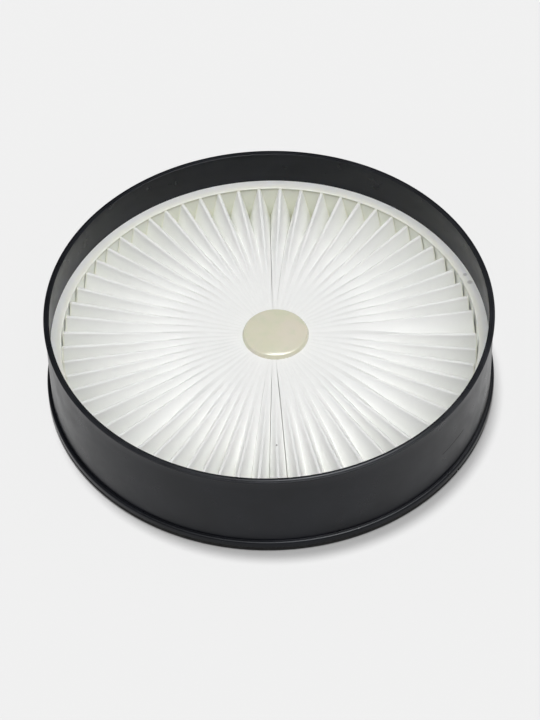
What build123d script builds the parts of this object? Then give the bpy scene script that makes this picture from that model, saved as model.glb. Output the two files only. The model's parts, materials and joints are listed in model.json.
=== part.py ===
from build123d import *
import math
import os

# Round pleated cassette filter of a bagless vacuum cleaner, in millimetres, +Z up.
# The origin is on the frame's axis, on the plane that the sealing strip stands on.

# Moulded frame: a thin wall with a beaded rim above, a foot flange outside and a ledge inside
wall_diameter = 133.2
wall_thickness = 0.9
frame_height = 28.5
bead_height = 1.1
bead_out = 0.35
bead_round = 0.4
flange_out = 1.1
flange_thickness = 1.1
flange_round = 0.4
ledge_thickness = 2.2
ledge_lip = 0.9

# Sealing strip of soft foam rubber, glued under the flange and closed by one butt joint
seal_thickness = 1.8
seal_width = 4.0
seal_inset = 0.2
seal_round = 0.4
seal_joint_deg = -36.0
seal_joint_gap = 0.8

# Cast ring that bonds the outer ends of the pleats into the frame
recess_depth = 12.0
potting_width = 2.9
# The resin's skin reaches a little way over the ends of the ridges
potting_lip = 0.3
potting_round = 0.2

# Folded sheet: a radial rosette of pleats, standing on the frame's ledge
pleat_count = 62
sheet_thickness = 0.35
ridge_sink = 0.5
ridge_rise = 0.4
first_ridge_deg = 7.9
# Where the fan of pleats was pulled a little wider, and by how much
front_slack_deg = 314.0
front_slack_spread_deg = 30.0
front_slack_gain = 0.31
back_slack_deg = 88.0
back_slack_spread_deg = 17.0
back_slack_gain = 0.12
# Single pleats that are wider or narrower than their neighbours, by number from the first ridge
odd_pleats = {
    26: 1.15, 27: 1.08, 29: 1.1, 38: 1.36, 42: 0.92, 43: 0.9, 45: 1.12,
    47: 1.05, 52: 0.65, 53: 0.7, 54: 1.1, 55: 1.12, 61: 1.6,
}
# How loosely the folds are packed round the hole: hole circumference over stacked sheet
hub_packing = 1.28
# The rosette's hole lies a little off the frame's axis
rosette_x = 0.9
rosette_y = 0.4

# Hot-melt plug, cast through the rosette's hole, with a button that ran a little further to one side
hub_x = 1.8
hub_y = 0.3
button_lap = 1.15
button_edge = 1.1
button_crown = 0.7
button_round = 0.9
foot_edge = 0.9
foot_round = 0.3
glue_line = 0.02

# Radii and heights that follow from the sizes above
wall_out = wall_diameter / 2
wall_in = wall_out - wall_thickness
flange_radius = wall_out + flange_out
potting_in = wall_in - potting_width
flange_bottom = seal_thickness
flange_top = flange_bottom + flange_thickness
ledge_top = flange_bottom + ledge_thickness
rim_top = flange_bottom + frame_height
potting_top = rim_top - recess_depth
ridge_at_ring = potting_top - ridge_sink
ridge_at_hub = ridge_at_ring + ridge_rise
hole_radius = hub_packing * pleat_count * sheet_thickness / math.pi
button_radius = hole_radius + button_lap


def turned(section):
    """A solid of revolution about the Z axis from a section drawn as radius and height."""
    return revolve(Plane.XZ * section, Axis.Z)


def corners(section, radius, height):
    """The section's vertices at one corner, to be rounded."""
    same_point = 1e-6
    return section.vertices().filter_by(lambda v: math.dist((v.X, v.Y), (radius, height)) < same_point)


def frame_ring():
    bead_bottom = rim_top - bead_height
    bead_outside = wall_out + bead_out
    ledge_in = potting_in - ledge_lip
    outline = Polyline(
        (ledge_in, flange_bottom),
        (flange_radius, flange_bottom),
        (flange_radius, flange_top),
        (wall_out, flange_top),
        (wall_out, bead_bottom),
        (bead_outside, bead_bottom),
        (bead_outside, rim_top),
        (wall_in, rim_top),
        (wall_in, ledge_top),
        (ledge_in, ledge_top),
        close=True,
    )
    section = make_face(outline)
    rim_corners = corners(section, bead_outside, rim_top) + corners(section, wall_in, rim_top)
    section = fillet(rim_corners, bead_round)
    section = fillet(corners(section, flange_radius, flange_top), flange_round)
    return turned(section)


def seal_ring():
    outside = flange_radius - seal_inset
    inside = outside - seal_width
    section = Pos(inside, 0) * Rectangle(seal_width, seal_thickness, align=Align.MIN)
    section = fillet(corners(section, outside, 0), seal_round)
    joint = Box(2 * seal_width, seal_joint_gap, 2 * seal_thickness)
    return turned(section) - Rot(0, 0, seal_joint_deg) * Pos(inside + seal_width / 2, 0) * joint


def potting_ring():
    lip_in = potting_in - potting_lip
    lip_bottom = ridge_at_ring + glue_line
    section = make_face(
        Polyline(
            (potting_in, ledge_top),
            (wall_in, ledge_top),
            (wall_in, potting_top),
            (lip_in, potting_top),
            (lip_in, lip_bottom),
            (potting_in, lip_bottom),
            close=True,
        )
    )
    return turned(fillet(corners(section, lip_in, potting_top), potting_round))


def slack(azimuth, centre, spread, gain):
    """How much wider a pleat is at one azimuth, for a slack place that fades to both sides."""
    away = (azimuth - centre + 180) % 360 - 180
    return gain * math.exp(-((away / spread) ** 2))


def pleat_pitches():
    """The angle in degrees from each ridge to the next one, all round the rosette."""
    widths = []
    for pleat in range(pleat_count):
        middle = first_ridge_deg + 360 * (pleat + 0.5) / pleat_count
        width = 1 + slack(middle, front_slack_deg, front_slack_spread_deg, front_slack_gain)
        width += slack(middle, back_slack_deg, back_slack_spread_deg, back_slack_gain)
        widths.append(width * odd_pleats.get(pleat, 1.0))
    return [360 * width / sum(widths) for width in widths]


def panel_lean(half_pitch, depth):
    """How far a pleat's panel leans from upright, for a sheet of even thickness, in radians."""
    drop = depth - 2 * sheet_thickness
    return math.atan2(half_pitch, drop) - math.asin(sheet_thickness / math.hypot(half_pitch, drop))


def folded_edge(centre_x, centre_y, radius, ridge_top):
    """The sheet's folded edge on one circle, as a list with a ridge and a valley for each pleat.

    A fold is the sheet's inner corner and, round it at the sheet's thickness, the two ends and
    the middle of the arc that the outer face makes. A ridge's arc is above, a valley's below.
    """

    def fold(azimuth, corner_z, way, lean_before, lean_after):
        turn = math.radians(azimuth)

        def place(shift, rise):
            x = centre_x + radius * math.cos(turn) - shift * math.sin(turn)
            y = centre_y + radius * math.sin(turn) + shift * math.cos(turn)
            return Vector(x, y, corner_z + way * rise)

        def arc_end(lean):
            return sheet_thickness * math.cos(lean), sheet_thickness * math.sin(lean)

        across, rise = arc_end(lean_before)
        before = place(-across, rise)
        across, rise = arc_end(lean_after)
        after = place(across, rise)
        return {"corner": place(0, 0), "before": before, "top": place(0, sheet_thickness), "after": after}

    pitches = pleat_pitches()
    depth = ridge_top - ledge_top
    leans = [panel_lean(radius * math.radians(pitch) / 2, depth) for pitch in pitches]
    folds = []
    ridge = first_ridge_deg
    for pleat, pitch in enumerate(pitches):
        lean = leans[pleat]
        folds.append(fold(ridge, ridge_top - sheet_thickness, 1, leans[pleat - 1], lean))
        folds.append(fold(ridge + pitch / 2, ledge_top + sheet_thickness, -1, lean, lean))
        ridge += pitch
    return folds


def ruled(a, b, c, d):
    """The ruled face between the edge from a to b and the edge from d to c."""
    return Face.make_surface_from_curves(Edge.make_line(a, b), Edge.make_line(d, c))


def fold_arc(fold):
    return Edge.make_three_point_arc(fold["before"], fold["top"], fold["after"])


def fold_end(fold):
    """The flat end of one fold, between its inner corner and its outer arc."""
    sides = Wire.make_polygon([fold["after"], fold["corner"], fold["before"]], close=False)
    return Face(Wire([fold_arc(fold), *sides.edges()]))


def panel_sides(fold, following):
    """The two edges of the panel between two folds: from corner to arc, and from arc to corner."""
    return (fold["corner"], following["before"]), (fold["after"], following["corner"])


def pleated_media():
    ring_edge = folded_edge(0, 0, potting_in - glue_line, ridge_at_ring)
    hub_edge = folded_edge(rosette_x, rosette_y, hole_radius, ridge_at_hub)
    faces = []
    for k in range(len(ring_edge)):
        outer, inner = ring_edge[k - 1], hub_edge[k - 1]
        faces.append(Face.make_surface_from_curves(fold_arc(outer), fold_arc(inner)))
        # Both faces of the panel up to the next fold run straight from the ring to the hub
        outer_sides = panel_sides(outer, ring_edge[k])
        inner_sides = panel_sides(inner, hub_edge[k])
        for (a, b), (d, c) in zip(outer_sides, inner_sides):
            faces.append(ruled(a, b, c, d))
        # The sheet's two cut edges: the end of the fold and the end of the panel
        for fold, sides in ((outer, outer_sides), (inner, inner_sides)):
            faces.append(fold_end(fold))
            faces.append(ruled(sides[0][0], sides[0][1], sides[1][1], sides[1][0]))
    return Solid(Shell(faces))


def button():
    edge_top = ridge_at_hub + button_edge
    crown_rim = button_radius - button_round
    crown = TangentArc((0, edge_top + button_crown), (crown_rim, edge_top), tangent=(1, 0))
    edge = CenterArc((crown_rim, edge_top - button_round), button_round, 90, -90)
    sides = Polyline(edge @ 1, (button_radius, ridge_at_hub), (0, ridge_at_hub), crown @ 0)
    return turned(make_face(crown + edge + sides))


def stem_and_foot():
    stem = hole_radius - glue_line
    foot_bottom = ledge_top - foot_edge
    section = make_face(
        Polyline(
            (0, ridge_at_hub),
            (stem, ridge_at_hub),
            (stem, ledge_top),
            (button_radius, ledge_top),
            (button_radius, foot_bottom),
            (0, foot_bottom),
            close=True,
        )
    )
    return turned(fillet(corners(section, button_radius, foot_bottom), foot_round))


def centre_plug():
    return Pos(hub_x, hub_y, 0) * button() + Pos(rosette_x, rosette_y, 0) * stem_and_foot()


os.makedirs("parts", exist_ok=True)
export_step(frame_ring(), "parts/frame_ring.step")
export_step(seal_ring(), "parts/seal_ring.step")
export_step(potting_ring(), "parts/potting_ring.step")
export_step(pleated_media(), "parts/pleated_media.step")
export_step(centre_plug(), "parts/centre_plug.step")
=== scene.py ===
# Looks of a round pleated vacuum filter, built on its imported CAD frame. Sizes in mm unless noted.
import json
import math
import random

import bmesh
import bpy
from mathutils import Matrix, Vector, noise

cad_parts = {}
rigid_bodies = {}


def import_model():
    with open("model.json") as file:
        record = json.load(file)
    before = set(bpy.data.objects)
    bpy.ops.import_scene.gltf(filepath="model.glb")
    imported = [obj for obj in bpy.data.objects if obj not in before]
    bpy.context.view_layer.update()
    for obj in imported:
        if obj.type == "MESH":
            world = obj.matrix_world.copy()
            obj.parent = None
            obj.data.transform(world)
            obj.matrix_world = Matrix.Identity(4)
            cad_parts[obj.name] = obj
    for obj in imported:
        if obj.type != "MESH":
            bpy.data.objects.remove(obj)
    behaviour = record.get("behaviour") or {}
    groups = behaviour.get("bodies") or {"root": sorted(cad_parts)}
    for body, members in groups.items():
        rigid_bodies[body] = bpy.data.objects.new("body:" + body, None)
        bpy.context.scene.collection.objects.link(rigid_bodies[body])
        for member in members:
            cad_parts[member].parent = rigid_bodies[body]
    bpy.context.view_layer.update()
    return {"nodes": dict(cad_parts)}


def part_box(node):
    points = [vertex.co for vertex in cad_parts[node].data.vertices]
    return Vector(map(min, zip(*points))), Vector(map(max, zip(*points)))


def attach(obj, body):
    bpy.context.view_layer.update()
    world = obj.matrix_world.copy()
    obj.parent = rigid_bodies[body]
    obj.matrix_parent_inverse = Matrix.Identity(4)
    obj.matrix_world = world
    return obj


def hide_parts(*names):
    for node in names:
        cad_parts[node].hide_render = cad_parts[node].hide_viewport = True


for stray in list(bpy.data.objects):
    bpy.data.objects.remove(stray)

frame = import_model()
scene = bpy.context.scene
scene.view_settings.view_transform = "Standard"
mm = 0.001
# light finds its way out of a deep groove of white paper only after many bounces
grooveBounces = 24
scene.cycles.max_bounces = grooveBounces
scene.cycles.diffuse_bounces = grooveBounces
print("frame loaded:", ", ".join(sorted(frame["nodes"])))


# Mesh helpers

def roundCorners(corners, arcSteps, longestRun):
    # corners are (radius, height, rounding); the closed outline comes back as 2D points,
    # and no straight run between two of them is longer than longestRun
    outline = []
    for i, (radius, height, rounding) in enumerate(corners):
        here = Vector((radius, height))
        if rounding == 0:
            outline.append(here)
            continue
        before = (Vector(corners[i - 1][:2]) - here).normalized()
        after = (Vector(corners[(i + 1) % len(corners)][:2]) - here).normalized()
        half = before.angle(after) / 2
        centre = here + (before + after).normalized() * rounding / math.sin(half)
        first = here + before * rounding / math.tan(half) - centre
        last = here + after * rounding / math.tan(half) - centre
        for step in range(arcSteps + 1):
            outline.append(centre + first.slerp(last, step / arcSteps) * rounding)
    fine = []
    for i, here in enumerate(outline):
        after = outline[(i + 1) % len(outline)]
        pieces = max(1, math.ceil((after - here).length / longestRun))
        fine.extend(here.lerp(after, step / pieces) for step in range(pieces))
    return fine


def spinOutline(name, outline, steps, fromDeg=0.0, sweepDeg=360.0):
    # turns an outline about Z; a sweep under a full turn gets flat end caps
    bm = bmesh.new()
    start = math.radians(fromDeg)
    loop = [bm.verts.new((p.x * math.cos(start), p.x * math.sin(start), p.y)) for p in outline]
    solid = outline[0].x == 0 and outline[-1].x == 0    # from the axis back to the axis
    edges = [bm.edges.new((loop[i - 1], loop[i])) for i in range(1 if solid else 0, len(loop))]
    whole = sweepDeg >= 360
    if not whole:
        bm.faces.new(loop)
    spun = bmesh.ops.spin(bm, geom=edges, axis=(0, 0, 1), cent=(0, 0, 0), steps=steps,
                          angle=math.radians(sweepDeg), use_merge=whole)
    if not whole:
        ends = [e for e in spun["geom_last"] if isinstance(e, bmesh.types.BMEdge)]
        bmesh.ops.contextual_create(bm, geom=ends)
    if solid:
        samePoint = 0.0001
        bmesh.ops.remove_doubles(bm, verts=bm.verts, dist=samePoint)
    bmesh.ops.recalc_face_normals(bm, faces=bm.faces)
    mesh = bpy.data.meshes.new(name)
    bm.to_mesh(mesh)
    bm.free()
    return mesh


def wave(place, size, seed):
    # smooth noise between -1 and 1 with bumps about one size across; each seed has its own part of it
    return noise.noise(place / size + Vector((seed * 17.3, seed * 5.1, seed * 9.7)))


def unitShare(value):
    return min(1.0, max(0.0, value))


def outward(place):
    return Vector((place.x, place.y, 0)).normalized()


def toMetres(mesh):
    mesh.transform(Matrix.Scale(mm, 4))


def addPiece(mesh, material, nodeName, sharpDeg=40):
    mesh.shade_smooth()
    mesh.set_sharp_from_angle(angle=math.radians(sharpDeg))
    mesh.materials.append(material)
    piece = bpy.data.objects.new(mesh.name, mesh)
    scene.collection.objects.link(piece)
    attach(piece, "root")
    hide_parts(nodeName)
    print("piece", mesh.name, "with", len(mesh.polygons), "faces")
    return piece


def storeValues(mesh, name, values):
    layer = mesh.attributes.new(name, "FLOAT", "POINT")
    layer.data.foreach_set("value", values)


# Shader helpers

def newMaterial(name):
    material = bpy.data.materials.new(name)
    material.use_nodes = True
    tree = material.node_tree
    return material, tree, tree.nodes["Principled BSDF"]


def addNode(tree, kind, inputs, **settings):
    made = tree.nodes.new(kind)
    for key, value in settings.items():
        setattr(made, key, value)
    for key, value in inputs.items():
        if isinstance(value, bpy.types.NodeSocket):
            tree.links.new(value, made.inputs[key])
        else:
            made.inputs[key].default_value = value
    return made


def objectPlace(tree):
    return addNode(tree, "ShaderNodeTexCoord", {}).outputs["Object"]


def grain(tree, place, scale, detail=3.0, rough=0.5):
    inputs = {"Vector": place, "Scale": scale, "Detail": detail, "Roughness": rough}
    return addNode(tree, "ShaderNodeTexNoise", inputs).outputs["Fac"]


def remap(tree, value, low, high, toLow=0.0, toHigh=1.0):
    inputs = {"Value": value, "From Min": low, "From Max": high, "To Min": toLow, "To Max": toHigh}
    return addNode(tree, "ShaderNodeMapRange", inputs, interpolation_type="SMOOTHSTEP").outputs["Result"]


def mathNode(tree, operation, a, b):
    return addNode(tree, "ShaderNodeMath", {0: a, 1: b}, operation=operation).outputs[0]


def vectorNode(tree, operation, inputs):
    return addNode(tree, "ShaderNodeVectorMath", inputs, operation=operation).outputs


def mixColour(tree, share, a, b):
    # sockets 6 and 7 are the colours of a Mix node set to colour
    mixed = addNode(tree, "ShaderNodeMix", {0: share, 6: a, 7: b}, data_type="RGBA")
    return mixed.outputs[2]


def meshValue(tree, name):
    return addNode(tree, "ShaderNodeAttribute", {}, attribute_name=name).outputs["Fac"]


def bump(tree, height, strength, depth):
    inputs = {"Height": height, "Strength": strength, "Distance": depth}
    return addNode(tree, "ShaderNodeBump", inputs).outputs["Normal"]


def spotMask(tree, place, centre, radius, blur):
    # 1 inside a small round spot, in metres
    away = vectorNode(tree, "DISTANCE", {0: place, 1: centre})["Value"]
    return remap(tree, away, radius, radius + blur, 1.0, 0.0)


def lineMask(tree, place, start, end, halfWidth):
    # 1 along a thin straight mark from start to end, in metres
    core = 0.4     # share of the width that is fully marked
    run = (end - start).length
    along = (end - start) / run
    offset = vectorNode(tree, "SUBTRACT", {0: place, 1: start})["Vector"]
    dot = vectorNode(tree, "DOT_PRODUCT", {0: offset, 1: along})["Value"]
    held = addNode(tree, "ShaderNodeClamp", {"Value": dot, "Min": 0.0, "Max": run}).outputs[0]
    foot = vectorNode(tree, "SCALE", {0: along, "Scale": held})["Vector"]
    away = vectorNode(tree, "DISTANCE", {0: offset, 1: foot})["Value"]
    return remap(tree, away, halfWidth * core, halfWidth, 1.0, 0.0)


def letLightIn(shader, weight, depth):
    # a cast piece lets a little light in below its skin, red further than blue
    shader.inputs["Subsurface Weight"].default_value = weight
    shader.inputs["Subsurface Radius"].default_value = (1.0, 0.9, 0.6)
    shader.inputs["Subsurface Scale"].default_value = depth


def wallPoint(radius, azimuth, height):
    # a place on the part in metres
    turn = math.radians(azimuth)
    return Vector((radius * math.cos(turn), radius * math.sin(turn), height)) * mm


# Frame: thin black moulded wall with a beaded rim, a foot flange and an inner ledge

frameLook = {
    "wallInset": 1.1,          # flange edge to wall
    "wallThickness": 0.9,
    "beadHeight": 0.9,
    "beadOut": 0.35,
    "edgeStep": 0.10,          # the rim's inner part stands this much higher than its outer step
    "edgeOuter": 66.23,        # radius where the step ends
    "edgeSlope": 0.25,         # how far in the side of the higher part slopes
    "edgeInner": 65.25,        # radius of the rim's inside, from which the wall opens a little downwards
    "draftHeight": 11.5,       # how far down it does so
    "flangeThickness": 1.9,
    "ledgeThickness": 2.2,
    "ledgeInner": 61.9,
    "footRound": 0.15,
    "flangeRound": 0.6,
    "stepRound": 0.06,
    "rimRound": 0.1,
    "draftRound": 0.3,
    "innerRound": 0.2,
    "ledgeRound": 0.25,
    "steps": 360,
    "arcSteps": 6,
    "longestRun": 3.0,
    "sharpDeg": 18,                # faces that meet at more than this stay crisp
    "outOfRound": (0.05, 30.0),    # how far the wall wanders, over what run
    "stiffHeight": 6.0,            # above the flange, where it wanders less
    "roughness": (0.27, 0.35),
    "specular": 0.24,
    "bump": (0.06, 0.03),          # strength and depth
    "dustSize": (0.025, 0.05),     # share of a cell
    "darkPlastic": (0.0020, 0.0024, 0.0042, 1),
    "palePlastic": (0.0040, 0.0046, 0.0076, 1),
    "glossTint": (0.93, 0.96, 1.0, 1),
    "dustColour": (0.16, 0.16, 0.16, 1),
    "scratchColour": (0.0012, 0.0012, 0.0014, 1),
    "scratch": ((-32.9, 15.0), (-36.0, 14.8), (-39.0, 14.5), (-42.1, 14.2)),     # azimuth and height
    "scratchHalfWidth": 0.2,
    "scratchShare": 0.8,
    "scratchRough": 0.3,           # a scratch is rougher, so it mirrors less of the room
}


def blackPlastic(look, wallOut):
    material, tree, shader = newMaterial("satinBlackPlastic")
    place = objectPlace(tree)
    cloud = grain(tree, place, 60.0, 4.0)
    mottle = mixColour(tree, remap(tree, cloud, 0.35, 0.65), look["darkPlastic"], look["palePlastic"])
    # a few specks of dust, each a small share of a cell
    cells = addNode(tree, "ShaderNodeTexVoronoi", {"Vector": place, "Scale": 170.0, "Randomness": 1.0})
    speck = remap(tree, cells.outputs["Distance"], *look["dustSize"], 1.0, 0.0)
    rare = remap(tree, grain(tree, place, 95.0, 1.0), 0.60, 0.66)
    dust = mathNode(tree, "MULTIPLY", speck, rare)
    coated = mixColour(tree, dust, mottle, look["dustColour"])
    marks = 0.0
    bends = [wallPoint(wallOut, azimuth, height) for azimuth, height in look["scratch"]]
    for start, end in zip(bends, bends[1:]):
        run = lineMask(tree, place, start, end, look["scratchHalfWidth"] * mm)
        marks = mathNode(tree, "MAXIMUM", run, marks)
    scratched = mathNode(tree, "MULTIPLY", marks, look["scratchShare"])
    worn = mixColour(tree, scratched, coated, look["scratchColour"])
    tree.links.new(worn, shader.inputs["Base Color"])
    smear = remap(tree, grain(tree, place, 140.0, 5.0, 0.6), 0.3, 0.7, *look["roughness"])
    rougher = mathNode(tree, "MULTIPLY", marks, look["scratchRough"])
    tree.links.new(mathNode(tree, "ADD", smear, rougher), shader.inputs["Roughness"])
    shader.inputs["Specular IOR Level"].default_value = look["specular"]
    shader.inputs["Specular Tint"].default_value = look["glossTint"]
    strength, depth = look["bump"]
    skin = bump(tree, grain(tree, place, 2600.0, 2.0), strength, depth * mm)
    tree.links.new(skin, shader.inputs["Normal"])
    return material


def makeFrame(look):
    low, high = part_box("frame_ring")
    flangeOut = high.x / mm
    foot = low.z / mm
    rim = high.z / mm
    wallOut = flangeOut - look["wallInset"]
    wallIn = wallOut - look["wallThickness"]
    flangeTop = foot + look["flangeThickness"]
    ledgeTop = foot + look["ledgeThickness"]
    beadBottom = rim - look["beadHeight"]
    beadOut = wallOut + look["beadOut"]
    stepTop = rim - look["edgeStep"]
    draftBottom = rim - look["draftHeight"]
    outline = roundCorners([
        (look["ledgeInner"], foot, look["ledgeRound"]),
        (flangeOut, foot, look["footRound"]),
        (flangeOut, flangeTop, look["flangeRound"]),
        (wallOut, flangeTop, look["stepRound"]),
        (wallOut, beadBottom, look["rimRound"]),
        (beadOut, beadBottom, look["rimRound"]),
        (beadOut, stepTop, look["stepRound"]),
        (look["edgeOuter"], stepTop, 0.0),
        (look["edgeOuter"] - look["edgeSlope"], rim, 0.0),
        (look["edgeInner"], rim, look["rimRound"]),
        (wallIn, draftBottom, look["draftRound"]),
        (wallIn, ledgeTop, look["innerRound"]),
        (look["ledgeInner"], ledgeTop, look["ledgeRound"]),
    ], look["arcSteps"], look["longestRun"])
    mesh = spinOutline("frameRing", outline, look["steps"])
    wander, run = look["outOfRound"]
    for vertex in mesh.vertices:
        # a thin moulding is never quite round; the flange stays round, so the box keeps its size
        place = vertex.co
        upper = unitShare((place.z - flangeTop) / look["stiffHeight"])
        vertex.co = place + outward(place) * wave(place, run, 1) * wander * upper
    toMetres(mesh)
    plastic = blackPlastic(look, wallOut)
    return addPiece(mesh, plastic, "frame_ring", look["sharpDeg"])


frameRing = makeFrame(frameLook)


# Sealing strip: soft foam rubber under the flange, closed by one butt joint

sealLook = {
    "width": 4.0,
    "innerRound": 0.3,
    "outerRound": 0.4,
    "gluedRound": 0.1,
    "jointDeg": -36.0,
    "jointGap": 0.8,
    "steps": 480,
    "arcSteps": 4,
    "longestRun": 0.7,
    "uneven": 0.07,            # how far the free sides wander
    "heldHeight": 0.5,         # near the floor and the glue, where they wander less
    "roughness": (0.75, 0.95),
    "specular": 0.25,
    "bump": (0.5, 0.12),       # strength and depth of the pores
    "darkFoam": (0.013, 0.013, 0.013, 1),
    "paleFoam": (0.042, 0.042, 0.042, 1),
}


def foamRubber(look):
    material, tree, shader = newMaterial("blackFoamRubber")
    place = objectPlace(tree)
    cells = addNode(tree, "ShaderNodeTexVoronoi", {"Vector": place, "Scale": 3200.0})
    pores = remap(tree, cells.outputs["Distance"], 0.1, 0.6)
    shade = mixColour(tree, pores, look["paleFoam"], look["darkFoam"])
    tree.links.new(shade, shader.inputs["Base Color"])
    dull = remap(tree, grain(tree, place, 300.0), 0.3, 0.7, *look["roughness"])
    tree.links.new(dull, shader.inputs["Roughness"])
    shader.inputs["Specular IOR Level"].default_value = look["specular"]
    strength, depth = look["bump"]
    tree.links.new(bump(tree, pores, strength, depth * mm), shader.inputs["Normal"])
    return material


def makeSeal(look):
    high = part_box("seal_ring")[1]
    outside = high.x / mm
    inside = outside - look["width"]
    top = high.z / mm
    outline = roundCorners([
        (inside, 0.0, look["innerRound"]),
        (outside, 0.0, look["outerRound"]),
        (outside, top, look["gluedRound"]),
        (inside, top, look["gluedRound"]),
    ], look["arcSteps"], look["longestRun"])
    gapDeg = math.degrees(look["jointGap"] / outside)
    startDeg = look["jointDeg"] + gapDeg / 2
    mesh = spinOutline("sealRing", outline, look["steps"], startDeg, 360 - gapDeg)
    for vertex in mesh.vertices:
        # foam skin is uneven at its sides, and flat where it stands or is glued
        place = vertex.co.copy()
        free = min(place.z, top - place.z, look["heldHeight"]) / look["heldHeight"]
        # fine and broad bumps, set back as a whole so that few of them stand out
        bulge = 0.6 * wave(place, 0.9, 2) + 0.6 * wave(place, 4.0, 3) - 0.4
        vertex.co = place + outward(place) * bulge * look["uneven"] * free
    toMetres(mesh)
    return addPiece(mesh, foamRubber(look), "seal_ring")


sealRing = makeSeal(sealLook)


# Cast ring of cream resin that holds the ends of the pleats

ringLook = {
    "inside": 62.8,
    "lip": 0.3,                # the skin reaches this far over the pleats
    "lipThickness": 0.5,
    "lipRound": 0.2,
    "underRound": 0.12,
    "creep": 0.06,             # how far the resin climbs the wall
    "creepWidth": 0.35,
    "creepRound": 0.25,
    "steps": 480,
    "arcSteps": 4,
    "longestRun": 1.2,
    "skinDepth": 1.5,          # how far down the cast surface is uneven
    "uneven": 0.03,
    "heldWidth": 0.8,          # beside the wall, where it is less so
    "ragged": 0.07,            # how far the lip's edge wanders
    # where the lip wanders and where it takes its tone: out from the inner wall, and over what run
    "raggedFrom": (0.4, 0.6),
    "lipToneFrom": (1.4, 0.8),
    "lipToneShare": 0.8,
    "pocketLeast": 0.15,       # share of the pockets' tone and painted shade away from the back
    "shadeUnderLipLeast": 0.1,
    "roughness": (0.38, 0.55),
    "specular": 0.45,
    "bump": (0.12, 0.05),      # strength and depth
    "lightIn": (0.15, 0.6),    # weight and depth
    "paleCream": (0.955, 0.97, 0.955, 1),
    "deepCream": (0.945, 0.96, 0.925, 1),
    "lipColour": (0.95, 0.955, 0.85, 1),
    # painted shade: a dark band just under the lip stands in for the shadow the lip casts
    "paintedShadeUnderLip": (0.42, 0.41, 0.31, 1),
    "pocketToneAndShade": (0.75, 0.76, 0.68, 1),     # the resin between the ends of the pleats: partly its own deeper tone, partly painted shade in the pockets
    "smudgeColour": (0.30, 0.30, 0.29, 1),
    "smudges": ((64.4, 17.9, 0.4, 0.7), (64.3, 21.0, 0.3, 0.6)),     # radius, azimuth, size, blur
    "smudgeShare": 0.5,
}


def creamResin(look, top):
    material, tree, shader = newMaterial("creamCastResin")
    place = objectPlace(tree)
    cloud = remap(tree, grain(tree, place, 90.0, 4.0), 0.3, 0.7)
    body = mixColour(tree, cloud, look["paleCream"], look["deepCream"])
    lipTone = mathNode(tree, "MULTIPLY", meshValue(tree, "lip"), look["lipToneShare"])
    toned = mixColour(tree, lipTone, body, look["lipColour"])
    # the pockets' deeper tone, partly the resin's own colour and partly painted shade
    toned = mixColour(tree, meshValue(tree, "pocket"), toned, look["pocketToneAndShade"])
    # painted shade just under the lip, laid over the pockets' tone
    toned = mixColour(tree, meshValue(tree, "paintedShadeUnderLip"), toned, look["paintedShadeUnderLip"])
    marks = 0.0
    for radius, azimuth, size, blur in look["smudges"]:
        spot = spotMask(tree, place, wallPoint(radius, azimuth, top), size * mm, blur * mm)
        marks = mathNode(tree, "MAXIMUM", spot, marks)
    smudged = mathNode(tree, "MULTIPLY", marks, look["smudgeShare"])
    tree.links.new(mixColour(tree, smudged, toned, look["smudgeColour"]), shader.inputs["Base Color"])
    sheen = remap(tree, grain(tree, place, 500.0), 0.3, 0.7, *look["roughness"])
    tree.links.new(sheen, shader.inputs["Roughness"])
    shader.inputs["Specular IOR Level"].default_value = look["specular"]
    weight, depth = look["lightIn"]
    letLightIn(shader, weight, depth * mm)
    strength, depth = look["bump"]
    skin = bump(tree, grain(tree, place, 900.0, 3.0), strength, depth * mm)
    tree.links.new(skin, shader.inputs["Normal"])
    return material


def makeRing(look):
    low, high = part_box("potting_ring")
    outside = high.x / mm
    bottom = low.z / mm
    top = high.z / mm
    lipIn = look["inside"] - look["lip"]
    lipBottom = top - look["lipThickness"]
    outline = roundCorners([
        (look["inside"], bottom, 0.0),
        (outside, bottom, 0.0),
        (outside, top, 0.0),
        (outside - look["creepWidth"], top - look["creep"], look["creepRound"]),
        (lipIn, top - look["creep"], look["lipRound"]),
        (lipIn, lipBottom, look["underRound"]),
        (look["inside"], lipBottom, 0.0),
    ], look["arcSteps"], look["longestRun"])
    mesh = spinOutline("pottingRing", outline, look["steps"])
    raggedFrom, raggedRun = look["raggedFrom"]
    toneFrom, toneRun = look["lipToneFrom"]
    nearLip = 0.1 * look["lipThickness"]
    lipShare = []
    pocketShare = []
    shadeUnderLipShare = []
    for vertex in mesh.vertices:
        place = vertex.co.copy()
        radius = math.hypot(place.x, place.y)
        away = outward(place)
        nearTop = max(0.0, 1 - (top - place.z) / look["skinDepth"])
        loose = unitShare((outside - radius) / look["heldWidth"])
        below = place.z < lipBottom + nearLip
        atLip = below and place.z > lipBottom - nearLip
        # the pockets' tone and the painted shade under the lip are strongest at the back and fade
        # towards the sides
        backShare = max(0.0, place.y / radius) ** 2
        pocketShare.append(look["pocketLeast"] + (1 - look["pocketLeast"]) * backShare if below else 0.0)
        shadeUnderLipShare.append(look["shadeUnderLipLeast"] + (1 - look["shadeUnderLipLeast"]) * backShare if atLip else 0.0)
        shift = wave(place, 9.0, 4) + 0.5 * wave(place, 2.5, 5)
        place.z += shift * look["uneven"] * nearTop * loose
        inner = unitShare((look["inside"] + toneFrom - radius) / toneRun)
        edge = unitShare((look["inside"] + raggedFrom - radius) / raggedRun)
        shift = wave(place, 6.0, 6) + 0.6 * wave(place, 1.8, 7)
        place += away * shift * look["ragged"] * edge * nearTop
        vertex.co = place
        lipShare.append(inner * nearTop)
    storeValues(mesh, "lip", lipShare)
    storeValues(mesh, "pocket", pocketShare)
    storeValues(mesh, "paintedShadeUnderLip", shadeUnderLipShare)
    toMetres(mesh)
    return addPiece(mesh, creamResin(look, top), "potting_ring")


pottingRing = makeRing(ringLook)


# Filter paper: one long sheet folded into a rosette of pleats

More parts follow.
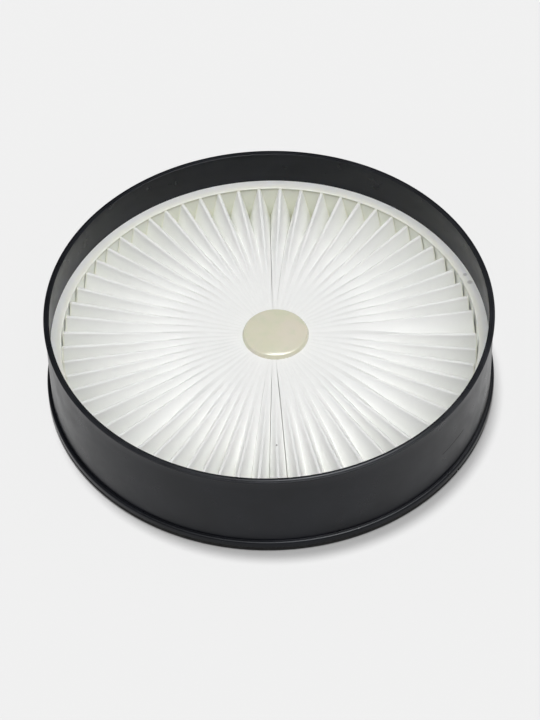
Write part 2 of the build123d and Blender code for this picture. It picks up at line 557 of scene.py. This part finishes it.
paperLook = {
    "count": 62,
    "firstRidge": 7.9,
    # where the fan was pulled wider: azimuth, spread, gain
    "slacks": ((314.0, 30.0, 0.31), (88.0, 17.0, 0.12)),
    "oddPleats": {26: 1.15, 27: 1.08, 29: 1.1, 38: 1.36, 42: 0.92, 43: 0.9, 45: 1.12,
                  47: 1.05, 52: 0.65, 53: 0.7, 54: 1.1, 55: 1.12, 61: 1.6},
    # pleats that don't close, and half the gap
    "slits": {13: 0.05, 14: 0.08, 45: 0.04, 46: 0.08, 47: 0.11},
    "slitFade": 14.0,          # how far from the hub and the ring a slit is at its widest
    "ringRadius": 62.8,
    "hubRadius": 8.84,
    "hole": (0.9, 0.4),
    "sunk": 0.15,              # the ends go this far into the resin
    "ridgeRise": 0.4,          # the ridges climb to the hub
    "sheet": 0.35,
    "ridgeFold": 0.40,         # radius at the sheet's middle
    "valleyGap": 0.002,        # half of what is left between two panels that touch
    "closedRadius": 8.0,       # the grooves are shut here, and open to their bottom at the ring
    "closePower": 2.8,
    "gapeVary": 0.15,          # how much one groove differs from the next
    "foldShare": 0.25,         # a ridge's largest rounding, as a share of half a pleat
    "gapeShare": 0.15,         # a groove's least opening, as a share of half a pleat
    "shutHeight": 0.3,         # what always stays shut at a groove's bottom
    "shortEnd": 0.9,           # how far the ridges' ends stop before the resin
    "stations": 31,
    "arcSteps": 5,
    "panelSteps": 3,
    "closedSteps": 2,
    "valleySteps": 2,
    "sharpDeg": 20,
    "seed": 7,
    "sway": 0.04,              # how far a ridge wanders sideways
    "swayWaves": 2.2,          # half waves from the ring to the hub
    "swayRoom": 0.6,           # half width of a pleat that is too narrow to wander
    "droop": 0.06,             # how far it sags between its ends
    "bow": 0.05,               # how far a panel bellies out
    "panelWidth": 13.6,        # one panel from fold to fold, on the flat
    "whitePaper": (0.934, 0.937, 0.922, 1),
    "greyPaper": (0.911, 0.916, 0.904, 1),
    "soakedPaper": (0.89, 0.89, 0.81, 1),      # ends that have drawn resin
    "roughness": 0.92,
    "specular": 0.15,
    "bump": (0.25, 0.06),      # strength and depth of the fibres
    "speck": (1.2, -42.7),
    "speckSize": (0.15, 0.25),     # size and blur
    "speckShare": 0.8,
    "speckColour": (0.12, 0.11, 0.10, 1),
}


def filterPaper(look, ridgeTop):
    material, tree, shader = newMaterial("whiteFilterPaper")
    place = objectPlace(tree)
    cloud = remap(tree, grain(tree, place, 140.0, 5.0, 0.6), 0.3, 0.7)
    fibres = grain(tree, place, 2200.0, 4.0, 0.7)
    broadTone = mathNode(tree, "MULTIPLY", cloud, 0.6)
    fineTone = mathNode(tree, "MULTIPLY", fibres, 0.4)
    tone = mathNode(tree, "ADD", broadTone, fineTone)
    body = mixColour(tree, tone, look["whitePaper"], look["greyPaper"])
    soaked = remap(tree, meshValue(tree, "soaked"), 0.45, 0.9)
    body = mixColour(tree, soaked, body, look["soakedPaper"])
    size, blur = look["speckSize"]
    speck = spotMask(tree, place, Vector(look["speck"] + (ridgeTop,)) * mm, size * mm, blur * mm)
    speck = mathNode(tree, "MULTIPLY", speck, look["speckShare"])
    tree.links.new(mixColour(tree, speck, body, look["speckColour"]), shader.inputs["Base Color"])
    shader.inputs["Roughness"].default_value = look["roughness"]
    shader.inputs["Specular IOR Level"].default_value = look["specular"]
    strength, depth = look["bump"]
    tree.links.new(bump(tree, fibres, strength, depth * mm), shader.inputs["Normal"])
    return material


def pleatPitches(look):
    # the angle from each ridge to the next, all round the rosette
    widths = []
    for pleat in range(look["count"]):
        middle = look["firstRidge"] + 360 * (pleat + 0.5) / look["count"]
        width = 1.0
        for centre, spread, gain in look["slacks"]:
            away = (middle - centre + 180) % 360 - 180
            width += gain * math.exp(-((away / spread) ** 2))
        widths.append(width * look["oddPleats"].get(pleat, 1.0))
    return [2 * math.pi * width / sum(widths) for width in widths]


def foldSection(look, half, depth, gape, slit):
    # the sheet's middle line from a ridge to the next valley, as (across, down, normalX, normalZ);
    # gape is how far down the groove is open, and below it this panel lies on its neighbour
    skin = look["sheet"] / 2
    valleyFold = skin + look["valleyGap"] + slit
    touch = half - valleyFold
    ridgeFold = min(look["ridgeFold"], look["foldShare"] * touch)
    centre = skin + ridgeFold
    bottom = depth - skin - valleyFold
    gape = min(max(gape, skin + look["gapeShare"] * touch), bottom - look["shutHeight"])
    reach = math.hypot(touch, gape - centre)
    lean = math.atan2(touch, gape - centre) - math.asin(ridgeFold / reach)
    points = []
    for step in range(look["arcSteps"] + 1):
        angle = (math.pi / 2 - lean) * step / look["arcSteps"]
        nx, nz = math.sin(angle), math.cos(angle)
        points.append((ridgeFold * nx, centre - ridgeFold * nz, nx, nz))
    startX, startZ = points[-1][:2]
    for step in range(1, look["panelSteps"]):
        share = step / look["panelSteps"]
        x = startX + (touch - startX) * share
        z = startZ + (gape - startZ) * share
        points.append((x, z, math.cos(lean), math.sin(lean)))
    for step in range(look["closedSteps"]):
        # where the panels meet the sheet's faces are mitred, so no gap opens there
        miter = math.tan(lean / 2) if step == 0 else 0.0
        z = gape + (bottom - gape) * step / look["closedSteps"]
        points.append((touch, z, 1.0, miter))
    for step in range(look["valleySteps"] + 1):
        angle = math.pi / 2 * step / look["valleySteps"]
        nx, nz = math.cos(angle), math.sin(angle)
        points.append((half - valleyFold * nx, bottom + valleyFold * nz, nx, nz))
    return points


def makePaper(look):
    low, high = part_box("pleated_media")
    valley = low.z / mm
    ridgeAtHub = high.z / mm
    ridgeAtRing = ridgeAtHub - look["ridgeRise"]
    pitches = pleatPitches(look)
    hole = Vector(look["hole"] + (0,))
    outerEnd = look["ringRadius"] + look["sunk"]
    innerEnd = look["hubRadius"] - look["sunk"]
    rng = random.Random(look["seed"])
    # what is uneven about each pleat: its sway and where that starts, its droop, its bow and its opening
    habits = [[rng.uniform(-1, 1) for _ in range(5)] for _ in range(look["count"])]
    rings = []
    for station in range(look["stations"]):
        s = station / (look["stations"] - 1)
        centre = hole * s
        radius = outerEnd + (innerEnd - outerEnd) * s
        ridge = ridgeAtRing + look["ridgeRise"] * s
        depth = ridge - valley
        openShare = (radius - look["closedRadius"]) / (look["ringRadius"] - look["closedRadius"])
        fromHub = min(1.0, (radius - look["closedRadius"]) / look["slitFade"])
        fromRing = min(1.0, (look["ringRadius"] + 1 - radius) / look["slitFade"])
        free = math.sin(math.pi * s) ** 0.7     # both ends are held
        upper, lower = [], []
        azimuth = math.radians(look["firstRidge"])
        for pleat, pitch in enumerate(pitches):
            swaySize, swayStart, droop, bow, opening = habits[pleat]
            nextSize, nextStart, nextDroop = habits[(pleat + 1) % look["count"]][:3]
            half = radius * pitch / 2
            gape = depth * openShare ** look["closePower"] * (1 + look["gapeVary"] * opening)
            slit = look["slits"].get(pleat, 0.0) * (fromHub * fromRing)
            swayHere = swaySize * math.sin(look["swayWaves"] * math.pi * s + 3 * swayStart)
            swayNext = nextSize * math.sin(look["swayWaves"] * math.pi * s + 3 * nextStart)
            room = unitShare(half - look["swayRoom"])
            # down from the ridge, then up the mirrored half to the next ridge
            down = foldSection(look, half, depth, gape, slit)
            up = [(2 * half - x, z, -nx, nz) for x, z, nx, nz in reversed(down[1:-1])]
            for x, z, nx, nz in down + up:
                depthShare = z / depth
                blend = x / (2 * half)
                sway = swayHere * (1 - blend) + swayNext * blend
                sag = abs(droop) * (1 - blend) + abs(nextDroop) * blend
                belly = math.sin(math.pi * depthShare) * bow
                shift = (look["sway"] * sway * (1 - depthShare) + look["bow"] * belly) * free * room
                fall = look["droop"] * sag * (1 - depthShare) * free
                for surface, side in ((upper, 1), (lower, -1)):
                    across = x + shift + side * nx * look["sheet"] / 2
                    height = ridge - z - fall + side * nz * look["sheet"] / 2
                    angle = azimuth + across / radius
                    reach = radius
                    if station == 0:
                        # at the back the ends reach the resin, elsewhere their upper part stops short
                        short = 1 - max(0.0, math.sin(angle)) ** 2 + 0.2 * math.cos(angle)
                        reach -= look["shortEnd"] * short * (1 - depthShare)
                    place = Vector((reach * math.cos(angle), reach * math.sin(angle), height))
                    surface.append(centre + place)
            azimuth += pitch
        rings.append((upper, lower))
    # each station holds its upper points and then its lower ones; the ends are closed between the two
    columns = len(rings[0][0])
    points = [p for upper, lower in rings for p in upper + lower]
    faces = []
    for station in range(look["stations"] - 1):
        here = station * 2 * columns
        there = here + 2 * columns
        hereLow = here + columns
        thereLow = there + columns
        for i in range(columns):
            j = (i + 1) % columns
            faces.append((here + i, there + i, there + j, here + j))
            faces.append((hereLow + i, hereLow + j, thereLow + j, thereLow + i))
    last = (look["stations"] - 1) * 2 * columns
    lastLow = last + columns
    for i in range(columns):
        j = (i + 1) % columns
        faces.append((i, j, columns + j, columns + i))
        faces.append((last + i, lastLow + i, lastLow + j, last + j))
    mesh = bpy.data.meshes.new("pleatedMedia")
    mesh.from_pydata(points, [], faces)
    bm = bmesh.new()
    bm.from_mesh(mesh)
    bmesh.ops.recalc_face_normals(bm, faces=bm.faces)
    bm.to_mesh(mesh)
    bm.free()
    storeValues(mesh, "soaked", [1.0] * (2 * columns) + [0.0] * (len(points) - 2 * columns))
    toMetres(mesh)
    paper = filterPaper(look, ridgeAtRing + 0.1)
    piece = addPiece(mesh, paper, "pleated_media", look["sharpDeg"])
    return piece


pleatedMedia = makePaper(paperLook)


# Hot-melt plug cast through the rosette's hole

plugLook = {
    "button": 9.99,                # radii
    "stem": 8.82,
    "buttonPlace": (1.8, 0.3),     # the button ran a little further to one side than the stem
    "stemPlace": (0.9, 0.4),
    "buttonEdge": 1.1,
    "crown": 0.7,
    "crownReach": 0.93,            # share of the radius where the crown comes down to the edge
    "crownShares": (0.0, 0.12, 0.24, 0.36, 0.48, 0.60, 0.70, 0.80),
    "shoulder": (0.60, 0.95),      # the sloping edge, in and down from the button's outside
    "shoulderRound": 0.5,
    "skirtRound": 0.3,
    "underRound": 0.2,
    "footEdge": 0.9,
    "footRound": 0.3,
    "steps": 372,
    "arcSteps": 5,
    "longestRun": 1.4,
    "serration": (62, 0.12),       # notches where the ridges hold the melt back, and how deep
    "skirt": (0.5, 0.4),           # below the button's edge: where they start, and over what height
    "sink": 0.3,                   # the melt sinks this far between the ridges
    "uneven": 0.08,
    "looseRun": 0.8,               # over which the melt starts to be uneven, up and outwards
    "roughness": (0.08, 0.12),
    "specular": 0.45,
    "bump": (0.08, 0.12),          # strength and depth
    "lightIn": (0.25, 1.0),        # weight and depth
    "beige": (0.755, 0.735, 0.585, 1),
    "pinkBeige": (0.78, 0.735, 0.615, 1),
    "greenBeige": (0.70, 0.715, 0.55, 1),
}


def hotMelt(look):
    material, tree, shader = newMaterial("waxyHotMelt")
    place = objectPlace(tree)
    pink = remap(tree, grain(tree, place, 130.0, 2.0), 0.40, 0.64)
    green = remap(tree, grain(tree, place, 190.0, 2.0), 0.46, 0.68)
    body = mixColour(tree, pink, look["beige"], look["pinkBeige"])
    body = mixColour(tree, mathNode(tree, "MULTIPLY", green, 0.7), body, look["greenBeige"])
    tree.links.new(body, shader.inputs["Base Color"])
    sheen = remap(tree, grain(tree, place, 350.0), 0.3, 0.7, *look["roughness"])
    tree.links.new(sheen, shader.inputs["Roughness"])
    shader.inputs["Specular IOR Level"].default_value = look["specular"]
    weight, depth = look["lightIn"]
    letLightIn(shader, weight, depth * mm)
    strength, depth = look["bump"]
    skin = bump(tree, grain(tree, place, 420.0, 3.0), strength, depth * mm)
    tree.links.new(skin, shader.inputs["Normal"])
    return material


def makePlug(look):
    low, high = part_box("centre_plug")
    button = look["button"]
    buttonPlace = Vector(look["buttonPlace"] + (0,))
    stemPlace = Vector(look["stemPlace"] + (0,))
    top = high.z / mm
    bottom = low.z / mm
    edgeTop = top - look["crown"]
    under = edgeTop - look["buttonEdge"] - look["sink"]
    footTop = bottom + look["footEdge"]
    shoulderIn, shoulderDown = look["shoulder"]
    crownPoints = []
    for share in look["crownShares"]:
        rise = look["crown"] * (1 - (share / look["crownReach"]) ** 2)
        crownPoints.append((button * share, edgeTop + rise, 0.0))
    outline = roundCorners(crownPoints + [
        (button - shoulderIn, edgeTop, look["shoulderRound"]),
        (button, edgeTop - shoulderDown, look["skirtRound"]),
        (button, under, look["underRound"]),
        (look["stem"], under, 0.0),
        (look["stem"], footTop, 0.0),
        (button, footTop, look["underRound"]),
        (button, bottom, look["footRound"]),
        (0.0, bottom, 0.0),
    ], look["arcSteps"], look["longestRun"])
    # the run back up the axis is left out
    lastPoint = outline.index(Vector((0.0, bottom)))
    mesh = spinOutline("centrePlug", outline[:lastPoint + 1], look["steps"])
    notches, notchDepth = look["serration"]
    notchStart, notchRun = look["skirt"]
    hair = 0.01
    for vertex in mesh.vertices:
        place = vertex.co.copy()
        radius = math.hypot(place.x, place.y)
        away = Vector((place.x, place.y, 0)) / max(radius, 0.001)
        onButton = place.z > under + hair or (place.z > under - hair and radius > look["stem"] + hair)
        overTop = unitShare((place.z - under) / look["looseRun"])
        place.z += (wave(place, 5.0, 8) + 0.3 * wave(place, 1.6, 9)) * look["uneven"] * overTop
        rimShare = unitShare((radius - look["stem"]) / look["looseRun"])
        ragged = wave(place, 3.5, 10) + 0.5 * wave(place, 0.9, 11)
        place += away * ragged * look["uneven"] * rimShare * overTop
        skirt = rimShare * unitShare((edgeTop - notchStart - place.z) / notchRun) if onButton else 0.0
        place += away * notchDepth * skirt * (math.cos(notches * math.atan2(place.y, place.x)) - 1) / 2
        vertex.co = place + (buttonPlace if onButton else stemPlace)
    toMetres(mesh)
    return addPiece(mesh, hotMelt(look), "centre_plug")


centrePlug = makePlug(plugLook)


# Plain pale floor and soft studio light

stageLook = {
    "floorSize": 12.0,         # metres
    "floorColour": (0.40, 0.40, 0.40, 1),
    "glowColour": (0.863, 0.863, 0.863, 1),
    "floorGlow": 0.19,         # share of the floor's tone that no shadow takes
    "domeColour": (0.17, 0.17, 0.17, 1),
    "darkColour": (0.10, 0.10, 0.10, 1),
    "darkSide": (0.0, 0.68, 0.73),     # an unlit part of the room, behind and above
    "darkEdge": (0.78, 0.96),          # cosines where it starts and is full
    # each softbox: name, power, degrees across, where it stands
    "boxes": (
        ("overheadBox", 1.60, 60.0, (0.05, -0.12, 1.0)),
        ("frontBox", 0.55, 60.0, (0.04, -0.62, 0.78)),
        ("sideLeft", 0.26, 70.0, (-0.75, -0.10, 0.60)),
        ("sideRight", 0.26, 70.0, (0.75, -0.10, 0.60)),
    ),
    # lamps of the floor's own: one behind on the left gives the soft shadow, one in front fills it
    "floorBoxes": (
        ("floorBack", 4.45, 8.4, (-0.052, 0.128, 0.991)),
        ("floorFront", 2.0, 5.0, (0.0, -0.08, 0.997)),
    ),
    # a panel overhead that only gives gloss: watts, size and distance in metres, where it hangs
    "glintPanel": {"power": 66.0, "size": (1.8, 0.9), "away": 2.0, "stand": (0.20, 0.03, 1.0)},
}


def makeFloor(look):
    half = look["floorSize"] / 2
    corners = [(-half, -half, 0), (half, -half, 0), (half, half, 0), (-half, half, 0)]
    mesh = bpy.data.meshes.new("paleFloor")
    mesh.from_pydata(corners, [], [(0, 1, 2, 3)])
    material, tree, shader = newMaterial("palePaperFloor")
    shader.inputs["Base Color"].default_value = look["floorColour"]
    shader.inputs["Roughness"].default_value = 1.0
    shader.inputs["Specular IOR Level"].default_value = 0.0
    # seen directly or mirrored, the floor glows a little, so the backdrop stays plain
    path = addNode(tree, "ShaderNodeLightPath", {})
    seen = mathNode(tree, "MAXIMUM", path.outputs["Is Camera Ray"], path.outputs["Is Glossy Ray"])
    seen = mathNode(tree, "MAXIMUM", seen, path.outputs["Is Transmission Ray"])
    glow = addNode(tree, "ShaderNodeEmission", {"Color": look["glowColour"], "Strength": 1.0})
    share = mathNode(tree, "MULTIPLY", seen, look["floorGlow"])
    blend = addNode(tree, "ShaderNodeMixShader", {0: share, 1: shader.outputs[0], 2: glow.outputs[0]})
    tree.links.new(blend.outputs[0], tree.nodes["Material Output"].inputs["Surface"])
    mesh.materials.append(material)
    floor = bpy.data.objects.new("paleFloor", mesh)
    scene.collection.objects.link(floor)
    return floor


def lightGroup(name, members):
    group = bpy.data.collections.new(name)
    for member in members:
        group.objects.link(member)
    return group


def hangBox(box, group):
    name, power, across, stand = box
    lamp = bpy.data.lights.new(name, "SUN")
    lamp.energy = power
    lamp.angle = math.radians(across)
    hung = bpy.data.objects.new(name, lamp)
    hung.rotation_euler = Vector(stand).to_track_quat("Z", "Y").to_euler()
    hung.light_linking.receiver_collection = group
    scene.collection.objects.link(hung)


def hangPanel(panel, group):
    lamp = bpy.data.lights.new("glintPanel", "AREA")
    lamp.shape = "RECTANGLE"
    lamp.size, lamp.size_y = panel["size"]
    lamp.energy = panel["power"]
    stand = Vector(panel["stand"]).normalized()
    hung = bpy.data.objects.new("glintPanel", lamp)
    hung.visible_diffuse = False
    hung.location = stand * panel["away"]
    hung.rotation_euler = stand.to_track_quat("Z", "Y").to_euler()
    hung.light_linking.receiver_collection = group
    scene.collection.objects.link(hung)


def makeLight(look, floor):
    sky = scene.world or bpy.data.worlds.new("studio")
    scene.world = sky
    sky.use_nodes = True
    tree = sky.node_tree
    way = addNode(tree, "ShaderNodeTexCoord", {}).outputs["Generated"]
    aim = Vector(look["darkSide"]).normalized()
    facing = vectorNode(tree, "DOT_PRODUCT", {0: way, 1: aim})["Value"]
    dark = remap(tree, facing, *look["darkEdge"])
    dome = mixColour(tree, dark, look["domeColour"], look["darkColour"])
    tree.links.new(dome, tree.nodes["Background"].inputs["Color"])
    tree.nodes["Background"].inputs["Strength"].default_value = 1.0
    onPieces = lightGroup("onPieces", [frameRing, sealRing, pottingRing, pleatedMedia, centrePlug])
    onFloor = lightGroup("onFloor", [floor])
    for box in look["boxes"]:
        hangBox(box, onPieces)
    for box in look["floorBoxes"]:
        hangBox(box, onFloor)
    hangPanel(look["glintPanel"], onPieces)


makeLight(stageLook, makeFloor(stageLook))
print("stage lit")


# Camera at the photo's viewing angle; it aims at a point on the rim's plane

cameraLook = {
    "elevation": 47.237,       # degrees
    "distance": 0.871,         # metres from the rim's centre
    "aim": (-0.00008, -0.0206),    # metres
    "roll": -1.48,             # degrees
    "lens": 146.82,
}


def makeCamera(look):
    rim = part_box("frame_ring")[1].z
    up = math.radians(look["elevation"])
    place = Vector((0, -math.cos(up), math.sin(up))) * look["distance"] + Vector((0, 0, rim))
    back = (place - Vector(look["aim"] + (rim,))).normalized()
    right = Vector((0, 0, 1)).cross(back).normalized()
    upright = Matrix((right, back.cross(right), back)).transposed().to_4x4()
    data = bpy.data.cameras.new("photoCamera")
    data.lens = look["lens"]
    data.clip_start = 0.01
    data.clip_end = 50
    camera = bpy.data.objects.new("photoCamera", data)
    roll = Matrix.Rotation(math.radians(look["roll"]), 4, "Z")
    camera.matrix_world = Matrix.Translation(place) @ upright @ roll
    scene.collection.objects.link(camera)
    scene.camera = camera


makeCamera(cameraLook)
print("camera set")
